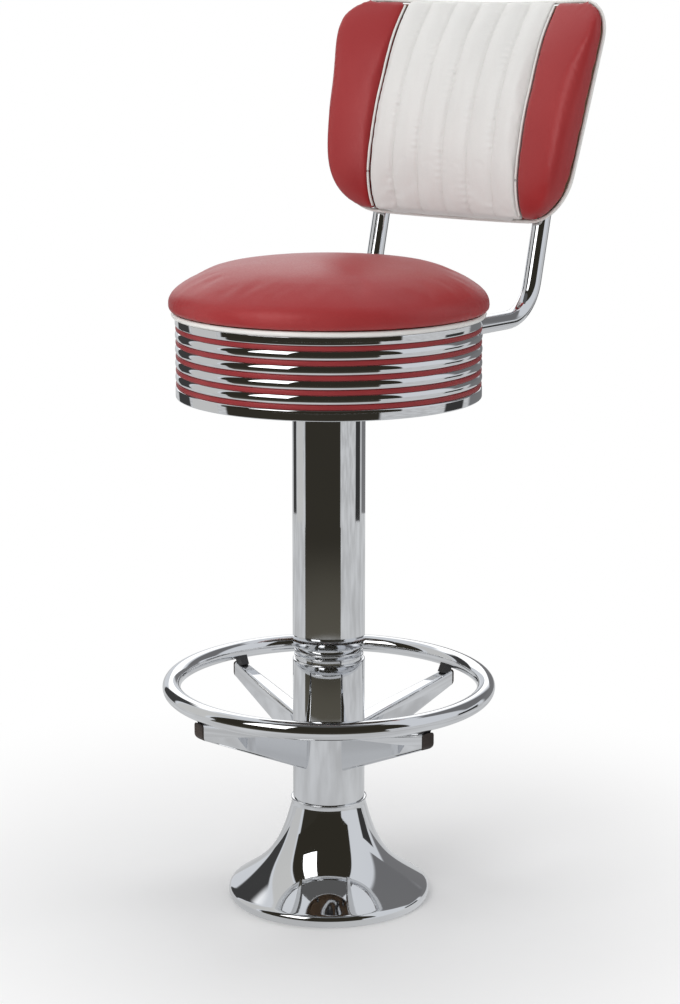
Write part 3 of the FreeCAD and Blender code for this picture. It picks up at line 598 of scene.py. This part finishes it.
cloth = {"quality": 5, "mass": 0.3, "stiffness": 25, "bending": 0.6, "frames": 20}


def swollen(node, name, held, slot, stuffing):
    # held(points) says which points stay on the board
    copy = bmesh.new()
    copy.from_mesh(nodes[node].data)
    bmesh.ops.remove_doubles(copy, verts=copy.verts, dist=1e-6)
    mesh = bpy.data.meshes.new(name)
    copy.to_mesh(mesh)
    copy.free()
    piece = addPiece(name, mesh, slot, "seat", [node])
    grid = piece.modifiers.new("grid", "REMESH")
    grid.mode, grid.voxel_size = "VOXEL", stuffing["voxel"] * mm
    mesh = eased(piece, stuffing["soften"])
    points = readPoints(mesh)
    fixed = held(points)
    start = points - normalsOf(mesh) * stuffing["shrink"] * mm * (~fixed)[:, None]
    writePoints(mesh, start)
    pins = piece.vertex_groups.new(name="held")
    pins.add([int(i) for i in np.where(fixed)[0]], 1.0, "REPLACE")
    cover = piece.modifiers.new("cloth", "CLOTH")
    cover.settings.quality = cloth["quality"]
    cover.settings.mass = cloth["mass"]
    cover.settings.tension_stiffness = cover.settings.compression_stiffness = cloth["stiffness"]
    cover.settings.bending_stiffness = cloth["bending"]
    cover.settings.use_pressure = True
    cover.settings.uniform_pressure_force = stuffing["pressure"]
    cover.settings.vertex_group_mass = "held"
    cover.settings.effector_weights.gravity = 0
    cover.point_cache.frame_end = cloth["frames"]
    for frameNumber in range(1, cloth["frames"] + 1):
        bpy.context.scene.frame_set(frameNumber)
    mesh = settled(piece)
    bpy.context.scene.frame_set(1)
    moved = readPoints(mesh) - start
    far = np.linalg.norm(moved, axis=1, keepdims=True)
    limit = stuffing["cap"] * mm
    moved = moved * np.minimum(1.0, limit * np.tanh(far / limit) / np.maximum(far, 1e-9))
    writePoints(mesh, start + moved)
    finer = piece.modifiers.new("finer", "SUBSURF")
    finer.levels = finer.render_levels = 1
    mesh = settled(piece)
    piece.vertex_groups.clear()
    smooth(mesh, 60)
    mesh.materials.clear()
    mesh.materials.append(paint[slot])
    print(name, len(mesh.vertices), "points")
    return piece


def ripples(points, size, seed):
    # slow uneven waves, as coated cloth has over foam
    chance = random.Random(seed)
    total = np.zeros(len(points))
    for _ in range(7):
        way = np.array([chance.uniform(-1, 1) for _ in range(3)])
        way /= np.linalg.norm(way)
        total += np.sin(points @ way * 2 * math.pi / size / chance.uniform(0.6, 1.6) + chance.uniform(0, 6.28))
    return total / 7


seatPad = {"fill": 0.85, "voxel": 5.0, "shrink": 0.6, "cap": 1.6, "pressure": 6.0, "soften": 2,
           "held": 740.5, "widest": 192.2, "pucker": 0.16, "waves": 0.22}


def makeSeatCushion():
    cushion = swollen("seat_cushion", "round_cushion", lambda p: p[:, 2] < seatPad["held"] * mm, "red_vinyl",
                      seatPad)
    mesh = eased(cushion, 10)
    points, normals = readPoints(mesh), normalsOf(mesh)
    r = np.hypot(points[:, 0], points[:, 1]) / mm
    grow = 1 + (seatPad["widest"] / r.max() - 1) * np.clip((r - 120) / 60, 0, 1)
    points[:, :2] *= grow[:, None]
    angle = np.arctan2(points[:, 1], points[:, 0])
    z = points[:, 2] / mm
    near = np.exp(-((z - seatPad["held"] - 0.5) / 9.0) ** 2) * (r > 170)
    pull = near * seatPad["pucker"] * np.sin(angle * 61 + 0.8 * np.sin(angle * 7)) * np.sin(angle * 5 + 1) ** 2
    points = points + normals * ((pull + seatPad["waves"] * ripples(points, 0.13, 4)) * mm)[:, None]
    writePoints(mesh, points)


def wrapped(places, inner, target):
    # reach the sewn line on the inner side, and fold over the board's edge on the outer side
    u, v, w = places.T
    gap = boardFront(u)
    if inner is not None:
        near = np.clip((inner + 7 - np.abs(u)) / 7, 0, 1)
        least = np.abs(u).min()
        u = np.sign(u) * (np.abs(u) - near * (least - target))
    edge = np.clip((np.abs(u) - halfWidth(v, 0.0) + 9) / 8, 0, 1)
    edge = np.maximum(edge, np.clip((v - outline["top"] + 9) / 8, 0, 1))
    edge = np.maximum(edge, np.clip((outline["bottom"] + 9 - v) / 8, 0, 1))
    low = np.clip((gap + 9 - w) / 8, 0, 1)
    out = 1.6 * edge * low
    length = np.hypot(u, v)
    return np.stack([u + out * u / length, v + out * v / length, w - 5.5 * edge * low], 1)


seams = {"first": -114.6, "step": 38.2, "count": 5, "edge": 115.0, "deep": 1.9, "wide": 1.7, "dent": 0.55,
         "panel": 1.4, "waves": 0.35}
centrePad = {"fill": 0.7, "voxel": 4.0, "shrink": 0.8, "cap": 2.5, "pressure": 4.0, "soften": 2, "held": 4.0}


def seamAt(k, v):
    return seams["first"] + seams["step"] * k + 0.35 * np.sin(v / 23 + k * 2)


def inFrontOf(points, gap):
    # how far the points stand in front of the board, less the gap
    u, v, w = toBack(points).T
    return w - (boardFront(u) + gap)


def makeCentre():
    panel = swollen("back_centre_cushion", "white_panel", lambda p: inFrontOf(p, centrePad["held"]) < 0,
                    "white_vinyl", centrePad)
    mesh = panel.data
    points, normals = readPoints(mesh), normalsOf(mesh)
    u, v, w = toBack(points).T
    reach = (seams["edge"] - 0.1) / np.abs(u).max()
    front = np.clip((w - boardFront(u) - 3.0) / 6.0, 0, 1) * np.clip(normals @ backAxes[2] * 2.5, 0, 1)
    push = np.zeros(len(u))
    for k in range(1, seams["count"] + 1):
        d = u - seamAt(k, v)
        push -= seams["deep"] * np.exp(-(d / seams["wide"]) ** 2)
        near = np.exp(-(d / 7.5) ** 2) * (1 - np.exp(-(d / 1.6) ** 2))
        lot = np.sin(v * 2 * math.pi / 8.6 + k * 1.7 + 1.3 * np.sin(v / 31 + k))
        lot *= np.clip(np.sin(v / 17 + 2 * k) + 0.35, 0, 1)
        push += seams["dent"] * near * lot * np.where(d < 0, 1.0, 0.7)
    lane = (u - seams["first"]) / seams["step"]
    push += seams["panel"] * (0.5 - 0.5 * np.cos(2 * math.pi * lane)) - 0.5 * seams["panel"]
    push += seams["waves"] * ripples(points, 0.07, 9)
    places = toBack(points + normals * (push * front * mm)[:, None])
    places[:, 0] *= 1 + (reach - 1) * np.clip((np.abs(places[:, 0]) - 100) / 12, 0, 1)
    writePoints(mesh, fromBack(wrapped(places, None, 0)))
    return panel


sidePad = {"fill": 0.75, "voxel": 4.0, "shrink": 0.8, "cap": 3.0, "pressure": 5.0, "soften": 5, "held": 1.5,
           "waves": 0.4}


def makeCheek(node, name, seed):
    cheek = swollen(node, name, lambda p: inFrontOf(p, sidePad["held"]) < 0, "red_vinyl", sidePad)
    mesh = eased(cheek, 8)
    points, normals = readPoints(mesh), normalsOf(mesh)
    places = toBack(points + normals * (sidePad["waves"] * ripples(points, 0.09, seed) * mm)[:, None])
    writePoints(mesh, fromBack(wrapped(places, seams["edge"], seams["edge"] + 0.1)))
    return cheek


rearPad = {"fill": 0.7, "voxel": 5.0, "shrink": 0.8, "cap": 4.0, "pressure": 2.5, "soften": 4, "held": -14.0,
           "inset": 3.0, "slope": 0.95}


def makeRearPad():
    pad = swollen("back_rear_pad", "rear_padding", lambda p: inFrontOf(p, rearPad["held"]) > 0, "red_vinyl",
                  rearPad)
    mesh = pad.data
    places = toBack(readPoints(mesh))
    u, v, w = places.T
    behind = np.maximum(0.0, boardFront(u) - 10.0 - w)
    limit = halfWidth(v, rearPad["inset"]) - rearPad["slope"] * behind
    over = np.abs(u) > limit
    places[:, 0] = np.where(over, np.sign(u) * (limit + 0.15 * (np.abs(u) - limit)), u)
    writePoints(mesh, fromBack(places))


# Stitches: a row of short threads along sewn lines, laid by Geometry Nodes

stitch = {"Spacing": 0.0042, "Length": 0.0031, "Thickness": 0.00038}


def stitchGroup(material):
    group = bpy.data.node_groups.new("threadRow", "GeometryNodeTree")
    group.interface.new_socket("Path", in_out="INPUT", socket_type="NodeSocketGeometry")
    keys = {}
    for name in stitch:
        keys[name] = group.interface.new_socket(name, in_out="INPUT", socket_type="NodeSocketFloat").identifier
    group.interface.new_socket("Threads", in_out="OUTPUT", socket_type="NodeSocketGeometry")
    wire = Wire(group)
    entry = wire.make("NodeGroupInput")
    socket = {name: entry.beside(name) for name in ["Path"] + list(stitch)}
    curve = wire.make("GeometryNodeMeshToCurve", None, {"Mesh": socket["Path"]})
    points = wire.make("GeometryNodeCurveToPoints", {"mode": "LENGTH"},
                       {"Curve": curve, "Length": socket["Spacing"]})
    turn = wire.make("FunctionNodeAlignEulerToVector", {"axis": "Z"}, {"Vector": points.beside("Tangent")})
    thread = wire.make("GeometryNodeMeshUVSphere", None, {"Segments": 6, "Rings": 5, "Radius": 0.5})
    scale = wire.make("ShaderNodeCombineXYZ", None,
                      {"X": 2 * socket["Thickness"], "Y": 2 * socket["Thickness"], "Z": socket["Length"]})
    placed = wire.make("GeometryNodeInstanceOnPoints", None,
                       {"Points": points, "Instance": thread, "Rotation": turn, "Scale": scale})
    real = wire.make("GeometryNodeRealizeInstances", None, {"Geometry": placed})
    coloured = wire.make("GeometryNodeSetMaterial", None, {"Geometry": real, "Material": material})
    wire.make("NodeGroupOutput", None, {"Threads": coloured})
    return group, keys


def sewn(name, paths, slot, replaced=()):
    points, edges = [], []
    for path in paths:
        edges += [(len(points) + i, len(points) + i + 1) for i in range(len(path) - 1)]
        points += [tuple(p) for p in path]
    base = bpy.data.meshes.new(name)
    base.from_pydata(points, edges, [])
    row = newObject(name, base)
    group, keys = stitchGroup(paint[slot])
    maker = row.modifiers.new("threads", "NODES")
    maker.node_group = group
    for key, value in stitch.items():
        maker[keys[key]] = value
    mesh = settled(row)
    bpy.data.objects.remove(row)
    smooth(mesh, 60)
    return addPiece(name, mesh, slot, "seat", replaced)


def onSurface(piece, places, lift):
    # the places (u, v) dropped on the piece from in front
    work = bmesh.new()
    work.from_mesh(piece.data)
    skin = BVHTree.FromBMesh(work)
    towards = Vector(backAxes[2])
    found = []
    for u, v in places:
        start = Vector(fromBack([(u, v, 120.0)])[0])
        hit = skin.ray_cast(start, -towards)[0]
        if hit is not None:
            found.append(hit + towards * lift * mm)
    work.free()
    return found


def makeSeams(panel):
    rows = []
    for k in range(1, seams["count"] + 1):
        rows.append(onSurface(panel, [(seamAt(k, v), v) for v in np.linspace(-131, 131, 90)], 0.15))
    sewn("seam_threads", rows, "white_piping")


piping = {"inset": 1.3, "behind": -6.4, "radius": 2.3, "inner": 1.6, "beside": 3.5}


def makeBackPiping():
    path = outlinePath(piping["inset"], piping["behind"], 480)
    cord = cordMesh("back_piping", path, piping["radius"] * mm)
    addPiece("back_piping", cord, "white_piping", "seat", ["back_welt"])


def makeInnerPiping(panel, cheek, side, name, node):
    # it lies on whichever of the two cushions stands higher beside it
    path, edge, beside = [], seams["edge"], piping["beside"]
    for v in np.linspace(-133, 135, 110):
        spots = onSurface(panel, [(side * (edge - beside), v)], 0)
        spots += onSurface(cheek, [(side * (edge + beside), v)], 0)
        if spots:
            path.append((side * edge, v, max(toBack(spot)[2] for spot in spots)))
    path = np.array(path)
    for _ in range(6):
        path[1:-1, 2] = (path[:-2, 2] + 2 * path[1:-1, 2] + path[2:, 2]) / 4
    path = [Vector(p) for p in fromBack(path)]
    addPiece(name, cordMesh(name, path, piping["inner"] * mm, 10, False), "white_piping", "seat", [node])


makeCamera()
makeBell()
makeColumn()
makeCollar()
makeFootRing()
for number in range(1, 5):
    smoothCopy("foot_arm_%d" % number, "chrome", "pedestal")
    smoothCopy("arm_cap_%d" % number, "dark_plastic", "pedestal")
smoothCopy("ring_saddles", "black_paint", "pedestal")
print("pedestal made")
makeSeatRing()
makeSeatWelt()
smoothCopy("back_frame", "chrome", "seat")
print("ring made")
makeSeatCushion()
centre = makeCentre()
leftSide = makeCheek("back_left_cheek", "red_side_left", 11)
rightSide = makeCheek("back_right_cheek", "red_side_right", 12)
makeRearPad()
makeSeams(centre)
makeBackPiping()
makeInnerPiping(centre, leftSide, -1, "inner_piping_left", "inner_welt_left")
makeInnerPiping(centre, rightSide, 1, "inner_piping_right", "inner_welt_right")
print("padding made")


# Studio

studio = {"floor": 0.86, "floorHalf": 14.0, "floorMirrored": (0.66, 0.67, 0.68), "floorMirroredPatch": (0.4, 0.4, 0.4),
          "world": 0.57, "seen": 1.0, "mirrored": (0.68, 0.70, 0.73)}


def blankTree(owner):
    owner.use_nodes = True
    owner.node_tree.nodes.clear()
    return Wire(owner.node_tree)


def makeWorld():
    world = bpy.data.worlds.new("studio")
    bpy.context.scene.world = world
    wire = blankTree(world)
    rays = wire.make("ShaderNodeLightPath", None, None, "Is Camera Ray")
    base = rgb(studio["world"], studio["world"], studio["world"] * 1.01)
    colour = wire.mix(rays.beside("Is Glossy Ray"), base, rgb(*studio["mirrored"]))
    colour = wire.mix(rays, colour, rgb(studio["seen"], studio["seen"], studio["seen"]))
    sky = wire.make("ShaderNodeBackground", None, {"Color": colour, "Strength": 1.0})
    wire.make("ShaderNodeOutputWorld", None, {"Surface": sky})


def makeFloor():
    size = studio["floorHalf"]
    corners = [(-size, -size, 0), (size, -size, 0), (size, size, 0), (-size, size, 0)]
    mesh = meshFrom("floor", corners, [(0, 1, 2, 3)])
    floor = newObject("floor", mesh)
    made = bpy.data.materials.new("paperFloor")
    wire = blankTree(made)
    place = wire.make("ShaderNodeTexCoord", None, None, "Object")
    far = wire.vector("LENGTH", place, output=1).steps(0.12, 0.85)
    level = studio["floor"]
    speck = wire.noise(place, 40.0, 4.0)
    colour = wire.mix(speck, rgb(level, level, level), rgb(level * 1.01, level * 1.01, level * 1.01))
    paper = wire.make("ShaderNodeBsdfDiffuse", None, {"Color": colour})
    glow = wire.make("ShaderNodeEmission", None, {"Color": rgb(1, 1, 1), "Strength": 1.0})
    rays = wire.make("ShaderNodeLightPath", None, None, "Is Camera Ray")
    both = wire.make("ShaderNodeMixShader", None, {0: far * rays, 1: paper, 2: glow})
    # painted reflection: glossy rays see the floor as a fixed glowing grey with darker cloudy patches, not as
    # the lit paper
    cloud = wire.noise(place, 2.2, 3.0).steps(0.3, 0.7)
    shade = wire.mix(0.6 * cloud, rgb(*studio["floorMirrored"]), rgb(*studio["floorMirroredPatch"]))
    mirrored = wire.make("ShaderNodeEmission", None, {"Color": shade, "Strength": 1.0})
    both = wire.make("ShaderNodeMixShader", None, {0: rays.beside("Is Glossy Ray"), 1: both, 2: mirrored})
    wire.make("ShaderNodeOutputMaterial", None, {"Surface": both})
    mesh.materials.append(made)


# Cards that only reflections see: (name, from, to, distance, bottom, top, soft degrees, level)
cards = (
    ("frontLow", -80, 38, 2.0, 0.0, 0.43, 3.0, (0.034, 0.031, 0.024)),
    ("frontHigh", -84, 54, 2.0, 0.42, 4.3, 2.5, (0.030, 0.027, 0.020)),
    ("keyCard", -60, -28, 1.9, 1.1, 3.3, 1.2, (2.3, 2.3, 2.3)),
    ("leftCard", -148, -121, 2.2, 0.0, 2.2, 2.5, (0.05, 0.05, 0.05)),
    ("leftLight", -119, -86, 2.1, 0.0, 3.6, 2.0, (0.60, 0.60, 0.59)),
    ("rightStripLow", 91, 117, 2.1, 0.0, 0.44, 3.0, (0.04, 0.04, 0.04)),
    ("rightBack", 122, 180, 2.2, 0.0, 0.85, 6.0, (0.19, 0.19, 0.195)),
    ("rightHigh", 98, 152, 2.2, 0.75, 3.9, 8.0, (0.17, 0.17, 0.175)),
    ("backGlow", 150, 240, 2.7, 1.0, 3.4, 14.0, (1.35, 1.35, 1.35)),
)


darkFloor = {"from": -80, "to": 38, "near": 0.86, "far": 2.02, "height": 0.002, "fade": 0.99,
             "nearLevel": (0.095, 0.088, 0.07), "farLevel": (0.034, 0.031, 0.024)}
ceiling = {"from": -84, "to": 66, "near": 0.15, "far": 2.3, "height": 4.25, "level": (0.10, 0.10, 0.10)}


def newCard(name, start, end, count, rows):
    # a bent band of quads between two (distance, height) rows
    points = []
    for i in range(count + 1):
        way = viewDirection(start + (end - start) * i / count)
        points += [way * distance + Vector((0, 0, height)) for distance, height in rows]
    faces = [(2 * i, 2 * i + 2, 2 * i + 3, 2 * i + 1) for i in range(count)]
    card = newObject(name, meshFrom(name, points, faces))
    made = bpy.data.materials.new(name)
    card.data.materials.append(made)
    wire = blankTree(made)
    return card, wire, wire.make("ShaderNodeTexCoord", None, None, "Object")


def lightUp(card, wire, colour, cover):
    # cover is 0 where the card isn't there, and 1 where it is
    glow = wire.make("ShaderNodeEmission", None, {"Color": colour, "Strength": 1.0})
    through = wire.make("ShaderNodeBsdfTransparent")
    both = wire.make("ShaderNodeMixShader", None, {0: cover, 1: through, 2: glow})
    wire.make("ShaderNodeOutputMaterial", None, {"Surface": both})
    card.visible_camera = card.visible_diffuse = card.visible_shadow = card.visible_transmission = False


def makeCards():
    for name, start, end, distance, bottom, top, soft, level in cards:
        half = (end - start) / 2
        rows = ((distance, bottom), (distance, top))
        card, wire, place = newCard(name, start, end, max(4, int(half)), rows)
        middle = viewDirection((start + end) / 2)
        along = wire.vector("DOT_PRODUCT", place, tuple(middle), output=1)
        across = wire.vector("DOT_PRODUCT", place, (-middle.y, middle.x, 0), output=1)
        away = wire.math("ABSOLUTE", wire.math("ARCTAN2", across, along)) * math.degrees(1)
        up = wire.make("ShaderNodeSeparateXYZ", None, {"Vector": place}, "Z")
        fade = 0.5 if top > 1.2 else 0.01
        cover = (1 - away.steps(half - soft, half)) * (1 - up.steps(top - fade, top))
        lightUp(card, wire, rgb(*level), cover)
    # painted reflections of the dark room's floor beyond the white paper, in front, and of its ceiling:
    # glowing cards that only glossy rays see
    rows = [(darkFloor[key], darkFloor["height"]) for key in ("near", "far")]
    card, wire, place = newCard("frontFloor", darkFloor["from"], darkFloor["to"], 40, rows)
    reach = wire.vector("LENGTH", place, output=1)
    shade = wire.mix(reach.steps(0.95, 1.9), rgb(*darkFloor["nearLevel"]), rgb(*darkFloor["farLevel"]))
    lightUp(card, wire, shade, reach.steps(darkFloor["near"], darkFloor["fade"]))
    rows = [(ceiling[key], ceiling["height"]) for key in ("near", "far")]
    card, wire, place = newCard("frontCeiling", ceiling["from"], ceiling["to"], 30, rows)
    lightUp(card, wire, rgb(*ceiling["level"]), 1.0)


# Lamps: (name, direction, distance, height, wide, high, power)
lamps = (
    ("keyBox", -44, 2.1, 2.35, 1.1, 1.1, 20),
    ("sideBox", 95, 2.6, 1.9, 1.2, 1.6, 14),
    ("topBox", 180, 1.2, 2.9, 1.8, 1.8, 18),
    ("fillBox", -38, 3.2, 0.75, 2.2, 1.3, 25),
)


def makeLamps():
    for name, direction, distance, height, wide, high, power in lamps:
        data = bpy.data.lights.new(name, "AREA")
        data.shape, data.size, data.size_y, data.energy = "RECTANGLE", wide, high, power
        lamp = newObject(name, data)
        spot = viewDirection(direction) * distance + Vector((0, 0, height))
        lamp.location = spot
        lamp.rotation_euler = (spot - Vector((0, 0, 0.75))).to_track_quat("Z", "Y").to_euler()
        lamp.visible_glossy = False


bpy.context.scene.view_settings.view_transform = "Standard"
makeWorld()
makeFloor()
makeCards()
makeLamps()
print("studio made")

slots = {part["node"]: part["material_slot"] for part in frame["record"]["subparts"]}
for node in sorted(nodes):
    if not nodes[node].hide_render:
        nodes[node].data.materials.clear()
        nodes[node].data.materials.append(paint[slots[node]])
